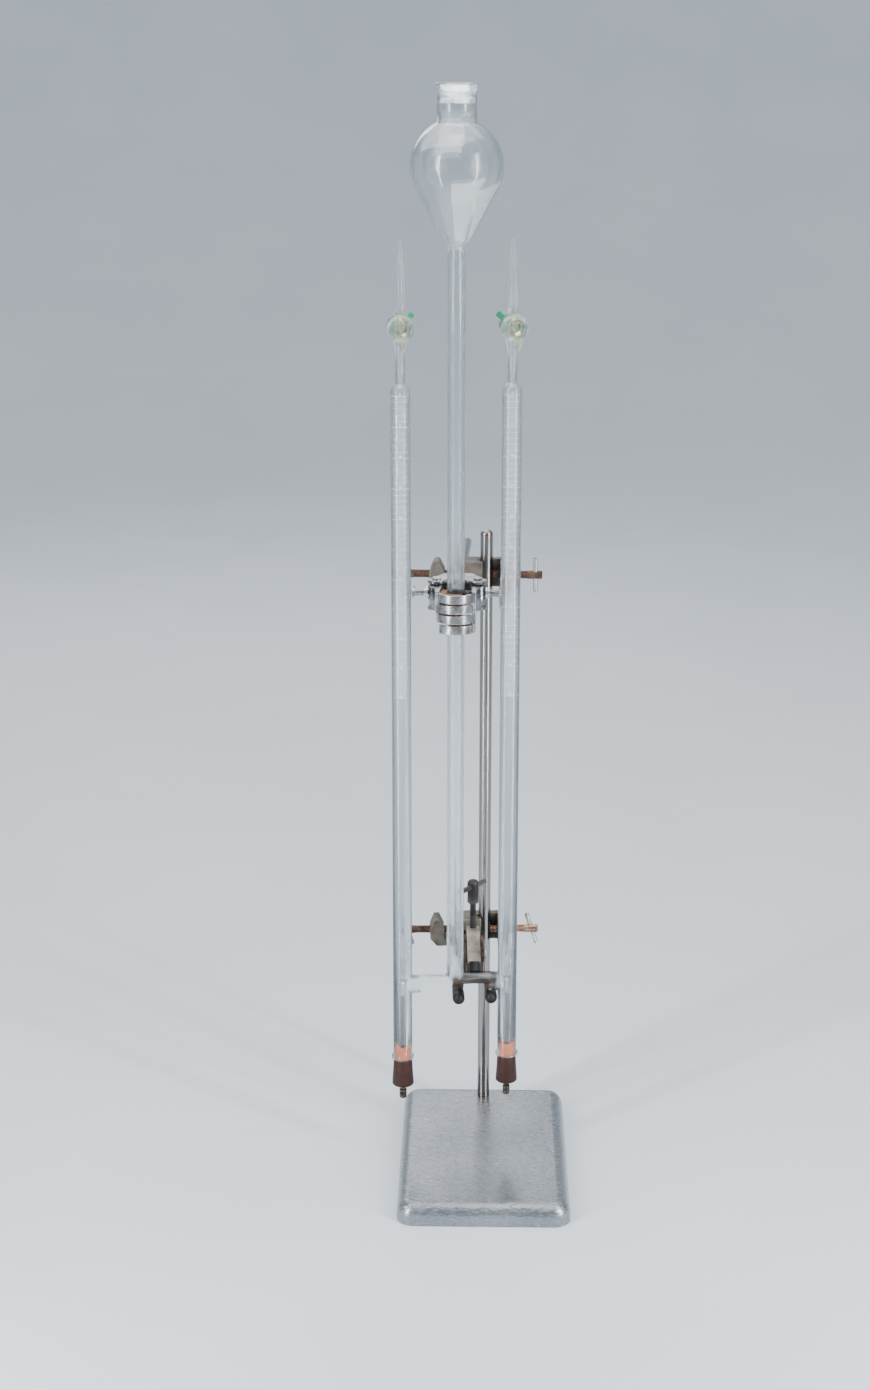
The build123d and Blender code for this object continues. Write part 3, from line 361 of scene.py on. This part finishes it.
def skin(shape, place, rings, closed_start=True, closed_end=True):
    """Join rings of points into a tube, and cap its ends where asked."""
    rows = [[shape.verts.new(place @ Vector(point)) for point in ring] for ring in rings]
    around = len(rows[0])
    for lower, upper in zip(rows, rows[1:]):
        for i in range(around):
            j = (i + 1) % around
            shape.faces.new((lower[i], lower[j], upper[j], upper[i]))
    if closed_start:
        shape.faces.new(list(reversed(rows[0])))
    if closed_end:
        shape.faces.new(rows[-1])


def circle(radius, height, around):
    """A ring of points about +Z."""
    return [
        (radius * math.cos(math.tau * i / around), radius * math.sin(math.tau * i / around), height)
        for i in range(around)
    ]


def turned_solid(shape, place, outline, around=48):
    """A solid of revolution about a frame's +Z, from (radius, height) points along its outline."""
    skin(shape, place, [circle(radius, height, around) for radius, height in outline])


def threaded_rod(shape, place, start, end, radius, pitch, depth, plain_after):
    """A screw: a helical V thread up to one place, plain beyond it, with chamfered ends."""
    around, per_turn, chamfer = 32, 8, 0.7 * MM
    rows = int((end - start) / pitch * per_turn)
    rings = []
    for row in range(rows + 1):
        height = start + (end - start) * row / rows
        inset = max(0, chamfer - (height - start), chamfer - (end - height))
        ring = []
        for i in range(around):
            phase = (height / pitch - i / around) % 1
            groove = depth * abs(2 * phase - 1) if height < plain_after else 0
            reach = radius - max(groove, inset)
            turn = math.tau * i / around
            ring.append((reach * math.cos(turn), reach * math.sin(turn), height))
        rings.append(ring)
    skin(shape, place, rings)


def wire(shape, points, radius, around=8):
    """A round wire through a list of points."""
    rings = []
    side = None
    for n, point in enumerate(points):
        ahead = (points[min(n + 1, len(points) - 1)] - points[max(n - 1, 0)]).normalized()
        if side is None:
            side = ahead.orthogonal().normalized()
        side = (side - ahead * side.dot(ahead)).normalized()
        other = ahead.cross(side)
        turns = [math.tau * i / around for i in range(around)]
        rings.append([point + radius * (math.cos(turn) * side + math.sin(turn) * other) for turn in turns])
    skin(shape, Matrix.Identity(4), rings)


def cad_copy(nodes):
    """One bmesh of the CAD meshes of several nodes."""
    shape = bmesh.new()
    for node in nodes:
        shape.from_mesh(frame["nodes"][node].data)
    return shape


def neighbours(node):
    """Surface trees of the CAD nodes on other bodies whose boxes meet a node's box."""
    low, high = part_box(node)
    found = []
    for other, piece in frame["nodes"].items():
        other_low, other_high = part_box(other)
        apart = any(other_low[k] > high[k] or low[k] > other_high[k] for k in range(3))
        if body_of[other] != body_of[node] and not apart:
            faces = [tuple(polygon.vertices) for polygon in piece.data.polygons]
            found.append(BVHTree.FromPolygons([v.co for v in piece.data.vertices], faces))
    return found


def rough_copy(node, voxel, smoothing, waves):
    """A CAD node remade as a casting: edges rounded, faces uneven. Waves are (size, depth) pairs.

    It is lifted clear of the CAD parts on other bodies, then kept inside its own CAD part's box.
    """
    sink, clearance, reach = 0.05 * MM, 0.12 * MM, 2.0 * MM
    source = bpy.data.objects.new(f"{node}_source", frame["nodes"][node].data.copy())
    bpy.context.collection.objects.link(source)
    remesh = source.modifiers.new("remesh", "REMESH")
    remesh.mode = "VOXEL"
    remesh.voxel_size = voxel
    smooth = source.modifiers.new("smooth", "SMOOTH")
    smooth.iterations = smoothing
    smooth.factor = 0.5
    bpy.context.view_layer.update()
    evaluated = source.evaluated_get(bpy.context.evaluated_depsgraph_get())
    shape = bmesh.new()
    shape.from_mesh(evaluated.to_mesh())
    evaluated.to_mesh_clear()
    bpy.data.objects.remove(source)
    shape.normal_update()
    low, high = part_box(node)
    for vert in shape.verts:
        rise = sum(depth * noise.noise(vert.co / size) for size, depth in waves)
        vert.co += vert.normal * (rise - sink)
    for tree in neighbours(node):
        for vert in shape.verts:
            nearest, outward, _, _ = tree.find_nearest(vert.co, reach)
            if nearest is not None:
                lift = clearance - (vert.co - nearest).dot(outward)
                vert.co += outward * max(0, lift)
    for vert in shape.verts:
        vert.co = Vector(min(max(c, a), b) for c, a, b in zip(vert.co, low, high))
    return shape


# ============================ glass =======================================================
def fused_glass():
    """The glass H as one blown piece: the CAD parts joined, without the faces at their seams."""
    nodes = ["reservoir", "stem_tube", "cross_tube"]
    nodes += [f"{side}_{part}" for side in SIDES for part in ("measuring_tube", "stopcock_barrel", "jet")]
    shape = cad_copy(nodes)
    left, right = (sum(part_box(f"{side}_jet"), Vector()) / 2 for side in SIDES)
    across = (right - left).normalized()
    middle = (right + left) / 2
    seam = max((v.co - middle).dot(across) for v in frame["nodes"]["cross_tube"].data.vertices)
    levels = [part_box("stem_tube")[0].z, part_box("stem_tube")[1].z]
    levels += [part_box("left_jet")[0].z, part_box("left_stopcock_barrel")[0].z]
    near, weld = 0.01 * MM, 0.02 * MM

    def at_seam(face):
        if any(all(abs(v.co.z - level) < near for v in face.verts) for level in levels):
            return True
        return all(abs(abs((v.co - middle).dot(across)) - seam) < near for v in face.verts)

    bmesh.ops.delete(shape, geom=[face for face in shape.faces if at_seam(face)], context="FACES")
    bmesh.ops.remove_doubles(shape, verts=shape.verts, dist=weld)
    add_piece("glass_body", shape, nodes, smooth_angle=50)


def graduations(side):
    """The tube's scale: a fine tick every 0.2 mL, longer ones at each 1 and 5 mL, a number at each 5 mL."""
    full, per_ml, ml_per_number = 50, 5, 5
    zero_below_top, scale_length, segments = 38 * MM, 277 * MM, 12
    letter_size, letter_rise, letter_lift = 3.4 * MM, 0.5 * MM, 0.01 * MM
    tube = f"{side}_measuring_tube"
    axis = upright(f"{side}_jet")
    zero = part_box(tube)[1].z - zero_below_top
    radius, step = 9.03 * MM, scale_length / (full * per_ml)
    shape = bmesh.new()

    def on_tube(angle, height, lift=0.0):
        reach = radius + lift
        return axis @ Vector((reach * math.sin(angle), -reach * math.cos(angle), height))

    for n in range(full * per_ml + 1):
        whole_ml, numbered = n % per_ml == 0, n % (per_ml * ml_per_number) == 0
        half_arc = 62 if numbered else 44 if whole_ml else 27
        half_line = (0.15 if whole_ml else 0.09) * MM
        height = zero - n * step
        angles = [math.radians(-half_arc + 2 * half_arc * i / segments) for i in range(segments + 1)]
        lower = [shape.verts.new(on_tube(angle, height - half_line)) for angle in angles]
        upper = [shape.verts.new(on_tube(angle, height + half_line)) for angle in angles]
        for i in range(segments):
            shape.faces.new((lower[i], lower[i + 1], upper[i + 1], upper[i]))
    for value in range(0, full + 1, ml_per_number):
        curve = bpy.data.curves.new("number", "FONT")
        curve.body = str(value)
        curve.size = letter_size
        curve.align_x = "CENTER"
        text = bpy.data.objects.new("number", curve)
        bpy.context.collection.objects.link(text)
        bpy.context.view_layer.update()
        glyphs = text.evaluated_get(bpy.context.evaluated_depsgraph_get()).to_mesh()
        base_line = zero - value * per_ml * step + letter_rise
        made = [
            shape.verts.new(on_tube(v.co.x / radius, base_line + v.co.y, letter_lift))
            for v in glyphs.vertices
        ]
        for polygon in glyphs.polygons:
            shape.faces.new([made[i] for i in polygon.vertices])
        bpy.data.objects.remove(text)
    piece = add_piece(f"{side}_graduations", shape, [tube], slot="clear_glass")
    piece.data.materials[0] = scale_enamel


scale_enamel = surface(
    "scale_enamel",
    light=(0.88, 0.89, 0.90), dark=(0.74, 0.76, 0.78), metallic=0.0, rough=(0.4, 0.6), patch=300,
    grain=2000
)
fused_glass()
for side in SIDES:
    graduations(side)


# ============================ electrodes ==================================================
def lead_coil(side):
    """The coiled lead in the electrode's sleeve."""
    node = f"{side}_lead_coil"
    low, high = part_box(node)
    axis = upright(node)
    wire_radius, pitch, per_turn, inset = 0.34 * MM, 2.3 * MM, 18, 0.02 * MM
    coil_radius = (high.x - low.x) / 2 - wire_radius - inset
    start, end = low.z + wire_radius, high.z - wire_radius
    steps = int((end - start) / pitch * per_turn)
    points = []
    for n in range(steps + 1):
        turn = math.tau * n / per_turn
        sway = 1 + 0.06 * math.sin(n * 0.37)
        reach = coil_radius * min(1, sway)
        height = start + (end - start) * n / steps
        points.append(axis @ Vector((reach * math.cos(turn), reach * math.sin(turn), height)))
    shape = bmesh.new()
    wire(shape, points, wire_radius)
    add_piece(f"{side}_coil", shape, [node])


def platinum_foil(side):
    """A thin foil, a little curled, on its wire."""
    node = f"{side}_platinum_foil"
    low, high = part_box(node)
    axis = upright(node)
    width, bottom, top = 4.9 * MM, high.z - 17 * MM, high.z
    columns, rows, thickness, curl = 8, 16, 0.12 * MM, 0.30 * MM
    wire_radius, overlap, wire_steps = 0.42 * MM, MM, 6
    shape = bmesh.new()
    sheets = []
    for face_side in (1, -1):
        grid = []
        for r in range(rows + 1):
            height = bottom + (top - bottom) * r / rows
            line = []
            for c in range(columns + 1):
                across = (c / columns - 0.5) * width
                bent = curl * math.cos(math.pi * c / columns) * math.sin(2.2 * r / rows)
                place = Vector((across, bent + face_side * thickness / 2, height))
                line.append(shape.verts.new(axis @ place))
            grid.append(line)
        sheets.append(grid)
    for grid, order in ((sheets[0], -1), (sheets[1], 1)):
        for r in range(rows):
            for c in range(columns):
                corners = (grid[r][c], grid[r][c + 1], grid[r + 1][c + 1], grid[r + 1][c])
                shape.faces.new(corners[::order])
    front, back = sheets
    rim = [(r, 0) for r in range(rows)] + [(rows, c) for c in range(columns)]
    rim += [(r, columns) for r in range(rows, 0, -1)] + [(0, c) for c in range(columns, 0, -1)]
    for (r, c), (s, d) in zip(rim, rim[1:] + rim[:1]):
        shape.faces.new((front[r][c], front[s][d], back[s][d], back[r][c]))
    wire_heights = [low.z + (bottom + overlap - low.z) * i / wire_steps for i in range(wire_steps + 1)]
    wire(shape, [axis @ Vector((0, 0, height)) for height in wire_heights], wire_radius)
    bmesh.ops.recalc_face_normals(shape, faces=shape.faces)
    add_piece(f"{side}_foil", shape, [node])


def stopper(side):
    """A moulded rubber stopper, squeezed where it enters the tube, with a dimple at its top."""
    node = f"{side}_stopper"
    low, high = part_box(node)
    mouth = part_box(f"{side}_measuring_tube")[0].z
    small, wide, dimple, bore, dimple_depth = 7.45 * MM, 10.4 * MM, 3.55 * MM, 1.45 * MM, 8 * MM
    shape = bmesh.new()
    outline = [
        (bore, low.z), (wide - 2.2 * MM, low.z), (wide - 0.9 * MM, low.z + 0.3 * MM),
        (wide - 0.1 * MM, low.z + 1.2 * MM), (wide, low.z + 2.4 * MM), (wide - 0.5 * MM, low.z + 9 * MM),
        (wide - 1.0 * MM, low.z + 17 * MM), (wide - 1.4 * MM, mouth - 1.4 * MM),
        (wide - 1.9 * MM, mouth - 0.4 * MM), (small + 0.1 * MM, mouth - 0.32 * MM), (small, mouth + MM),
        (small, high.z - 1.4 * MM), (small - 0.4 * MM, high.z - 0.5 * MM), (small - 1.3 * MM, high.z),
        (dimple + 0.5 * MM, high.z), (dimple, high.z - 0.5 * MM),
        (dimple, high.z - dimple_depth + 0.1 * MM), (bore, high.z - dimple_depth)
    ]
    turned_solid(shape, upright(node), outline, 56)
    add_piece(f"{side}_rubber_stopper", shape, [node])


def terminal(side):
    """The terminal post: rounded end, groove, barrel, waist and collar, with its lead going up."""
    node = f"{side}_terminal"
    low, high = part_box(node)
    post, collar, waist_inset = 3.48 * MM, 4.25 * MM, 1.3 * MM
    end_height, lead = 2.2 * MM, 1.4 * MM
    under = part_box(f"{side}_stopper")[0].z - 0.2 * MM
    shape = bmesh.new()
    outline = [(0.4 * MM, low.z)]
    outline += [
        (post * math.sin(math.radians(a)), low.z + end_height - end_height * math.cos(math.radians(a)))
        for a in range(20, 91, 14)
    ]
    outline += [
        (post, low.z + 5.6 * MM), (post - 0.5 * MM, low.z + 5.9 * MM), (post - 0.5 * MM, low.z + 6.5 * MM),
        (post, low.z + 6.8 * MM), (post, under - 5.2 * MM), (post - waist_inset, under - 4.4 * MM),
        (post - waist_inset, under - 2.6 * MM), (collar, under - 2.0 * MM), (collar, under - 0.3 * MM),
        (collar - 0.4 * MM, under), (lead, under), (lead, high.z - 0.4 * MM), (lead - 0.5 * MM, high.z)
    ]
    turned_solid(shape, upright(node), outline, 40)
    add_piece(f"{side}_terminal_post", shape, [node])


for side in SIDES:
    lead_coil(side)
    platinum_foil(side)
    stopper(side)
    terminal(side)


# ============================ castings, cork and rubber ===================================
CAST_WAVES = ((9 * MM, 0.35 * MM), (2.2 * MM, 0.16 * MM))
FINGER_WAVES = ((9 * MM, 0.14 * MM), (2.2 * MM, 0.08 * MM))
PLATE_WAVES = ((12 * MM, 0.12 * MM),)
CORK_WAVES = ((2.0 * MM, 0.25 * MM), (0.9 * MM, 0.15 * MM))
RUBBER_WAVES = ((4 * MM, 0.12 * MM),)
castings = {
    "upper_bosshead": (0.65, 6, CAST_WAVES),
    "lower_bosshead": (0.65, 6, CAST_WAVES),
    "lower_clamp_body": (0.6, 6, CAST_WAVES),
    "lower_clamp_finger": (0.5, 3, FINGER_WAVES),
    "upper_clamp_body": (0.55, 3, PLATE_WAVES),
    "upper_clamp_left_jaw": (0.5, 3, PLATE_WAVES),
    "upper_clamp_right_jaw": (0.5, 3, PLATE_WAVES),
    "upper_clamp_left_pads": (0.5, 2, CORK_WAVES),
    "upper_clamp_right_pads": (0.5, 2, CORK_WAVES),
    "lower_clamp_left_fork_tip": (0.45, 3, RUBBER_WAVES),
    "lower_clamp_right_fork_tip": (0.45, 3, RUBBER_WAVES),
    "lower_clamp_finger_tip": (0.45, 3, RUBBER_WAVES),
}
bare_iron = surface(
    "bare_iron",
    light=(0.40, 0.35, 0.29), dark=(0.16, 0.135, 0.115), metallic=0.2, rough=(0.45, 0.7), patch=70,
    grain=700, bump=0.5, depth=0.0003, stain=(0.16, 0.09, 0.055), stain_from=0.60, wear=(0.55, 0.50, 0.44),
    specular=0.3
)
for node, (voxel, smoothing, waves) in castings.items():
    casting = rough_copy(node, voxel * MM, smoothing, waves)
    piece = add_piece(f"{node}_cast", casting, [node], smooth_angle=60)
    if node == "lower_clamp_finger":
        piece.data.materials[0] = bare_iron


# ============================ screws ======================================================
def boss_screw(place_name, side):
    """A bosshead's clamping screw, threaded up to where its tommy bar goes through."""
    node = f"{place_name}_{side}_boss_screw"
    place = joint_place(f"{node}_turn")
    start, end = span(place, [node])
    shape = bmesh.new()
    threaded_rod(
        shape, place, start, end, radius=3.97 * MM, pitch=1.25 * MM, depth=0.55 * MM,
        plain_after=end - 14 * MM
    )
    add_piece(f"{node}_thread", shape, [node])


def thumbscrew(side):
    """The clamp's thumbscrew: fine thread, stepped collar and a wing with two thumb lobes."""
    node = f"upper_clamp_{side}_thumbscrew"
    place = joint_place(f"upper_{side}_thumbscrew_turn")
    start, end = span(place, [node])
    wing_low = end - 8.3 * MM
    wing_high = wing_low + 3.2 * MM
    shape = bmesh.new()
    collar_low = span(place, [f"upper_clamp_{side}_washer"])[1] + 0.05 * MM
    threaded_rod(
        shape, place, start, collar_low + MM, radius=2.48 * MM, pitch=1.0 * MM, depth=0.4 * MM,
        plain_after=collar_low
    )
    turned_solid(shape, place, [
        (2.6 * MM, collar_low), (3.9 * MM, collar_low + 0.3 * MM), (4.0 * MM, collar_low + 2.5 * MM),
        (3.1 * MM, collar_low + 3.4 * MM), (3.1 * MM, wing_low - 1.5 * MM), (3.8 * MM, wing_low + 0.2 * MM),
        (3.8 * MM, wing_high - 0.3 * MM), (2.6 * MM, wing_high), (2.45 * MM, end - 0.8 * MM),
        (1.6 * MM, end)
    ], 32)
    back = place.inverted()
    reach = [back @ v.co for v in frame["nodes"][node].data.vertices]
    long_x = max(abs(p.x) for p in reach) > max(abs(p.y) for p in reach)
    half = max(max(abs(p.x), abs(p.y)) for p in reach)
    stations, around = 24, 20
    middle = (wing_low + wing_high) / 2
    rings = []
    for n in range(stations + 1):
        along = -1 + 2 * n / stations
        lobe = math.sqrt(max(0.0, 1 - abs(along) ** 5))
        half_width = (2.3 + 2.1 * abs(along)) * MM * lobe + 0.05 * MM
        half_depth = (1.6 - 0.5 * abs(along)) * MM * max(lobe, 0.25)
        ring = []
        for i in range(around):
            turn = math.tau * i / around
            side_x, side_z = half_width * math.cos(turn), half_depth * math.sin(turn)
            x, y = (along * half, side_x) if long_x else (side_x, along * half)
            ring.append((x, y, middle + side_z))
        rings.append(ring)
    skin(shape, place, rings)
    bmesh.ops.recalc_face_normals(shape, faces=shape.faces)
    add_piece(f"{node}_winged", shape, [node])


def tee_screw():
    """The lower clamp's T-screw: thread below, cast head above, where its bar goes through."""
    place = joint_place("tee_screw_turn")
    start, end = span(place, ["tee_screw"])
    head, head_low, foot = 5.7 * MM, end - 24 * MM, start + 2.5 * MM
    shape = bmesh.new()
    threaded_rod(
        shape, place, foot, head_low + MM, radius=2.97 * MM, pitch=1.25 * MM, depth=0.5 * MM,
        plain_after=head_low - 12 * MM
    )
    turned_solid(shape, place, [(1.45 * MM, start), (1.45 * MM, foot + MM)], 24)
    turned_solid(shape, place, [
        (3.0 * MM, head_low), (head - 0.8 * MM, head_low + 0.4 * MM), (head, head_low + 1.6 * MM),
        (head - 0.2 * MM, head_low + 9 * MM), (head, end - 5 * MM), (head - 0.3 * MM, end - 2.6 * MM),
        (head - 1.2 * MM, end - 1.1 * MM), (head - 2.8 * MM, end - 0.2 * MM), (head - 4.2 * MM, end)
    ], 40)
    add_piece("tee_screw_turned", shape, ["tee_screw"])


for place_name in ("upper", "lower"):
    for side in SIDES:
        boss_screw(place_name, side)
for side in SIDES:
    thumbscrew(side)
tee_screw()


# ============================ floor, lights and camera ====================================
def pale_floor():
    """A pale floor that curves up into a wall all round, far outside the object."""
    flat, bend, rim, around, bend_steps = 3.0, 3.4, 3.6, 96, 12
    shape = bmesh.new()
    outline = [(0.4, 0.0), (1.5, 0.0), (flat, 0.0)]
    for n in range(1, bend_steps + 1):
        turn = math.pi / 2 * n / bend_steps
        outline.append((flat + bend * math.sin(turn), bend - bend * math.cos(turn)))
    outline.append((flat + bend, rim))
    skin(shape, Matrix.Identity(4), [circle(r, z, around) for r, z in outline], closed_end=False)
    bmesh.ops.recalc_face_normals(shape, faces=shape.faces)
    mesh = bpy.data.meshes.new("floor")
    shape.to_mesh(mesh)
    mesh.shade_smooth()
    floor = bpy.data.objects.new("floor", mesh)
    bpy.context.collection.objects.link(floor)
    mesh.materials.append(surface(
        "floor_paper",
        light=(0.66, 0.71, 0.76), dark=(0.63, 0.68, 0.73), metallic=0.0, rough=(0.75, 0.9),
        patch=3, grain=300, bump=0.05
    ))


def soft_light(name, position, target, size, power):
    """A white area light that faces a point and isn't seen itself."""
    data = bpy.data.lights.new(name, "AREA")
    data.shape = "RECTANGLE"
    data.size, data.size_y = size
    data.energy = power
    light = bpy.data.objects.new(name, data)
    light.visible_camera = False
    light.location = position
    light.rotation_euler = (Vector(target) - Vector(position)).to_track_quat("-Z", "Y").to_euler()
    bpy.context.collection.objects.link(light)


pale_floor()
soft_light("left_strip", (-1.7, -1.5, 1.25), (0, 0, 0.5), (0.45, 1.5), 34)
soft_light("right_strip", (1.7, -1.3, 1.25), (0, 0, 0.5), (0.45, 1.5), 30)
soft_light("left_near_strip", (-0.66, -0.62, 0.68), (0, 0, 0.68), (0.06, 1.3), 9)
soft_light("right_near_strip", (0.66, -0.56, 0.68), (0, 0, 0.68), (0.05, 1.3), 8)
soft_light("top_panel", (0.1, 0.2, 2.9), (0, 0, 0.3), (2.6, 2.6), 56)
soft_light("back_panel", (-0.6, 2.6, 1.9), (0, 0, 0.5), (1.6, 1.2), 20)
world = bpy.data.worlds.new("studio")
world.use_nodes = True
world.node_tree.nodes["Background"].inputs["Color"].default_value = (0.86, 0.91, 0.96, 1)
world.node_tree.nodes["Background"].inputs["Strength"].default_value = 0.75
bpy.context.scene.world = world

camera_data = bpy.data.cameras.new("camera")
camera_data.lens = 55.86
camera_data.sensor_width = 36
camera_data.shift_y = -0.0324
camera = bpy.data.objects.new("camera", camera_data)
camera.location = (-0.007, -1.907, 1.007)
camera.rotation_euler = (math.radians(90 - 14.5), 0, math.radians(1.2))
bpy.context.collection.objects.link(camera)
bpy.context.scene.camera = camera

bpy.context.view_layer.update()
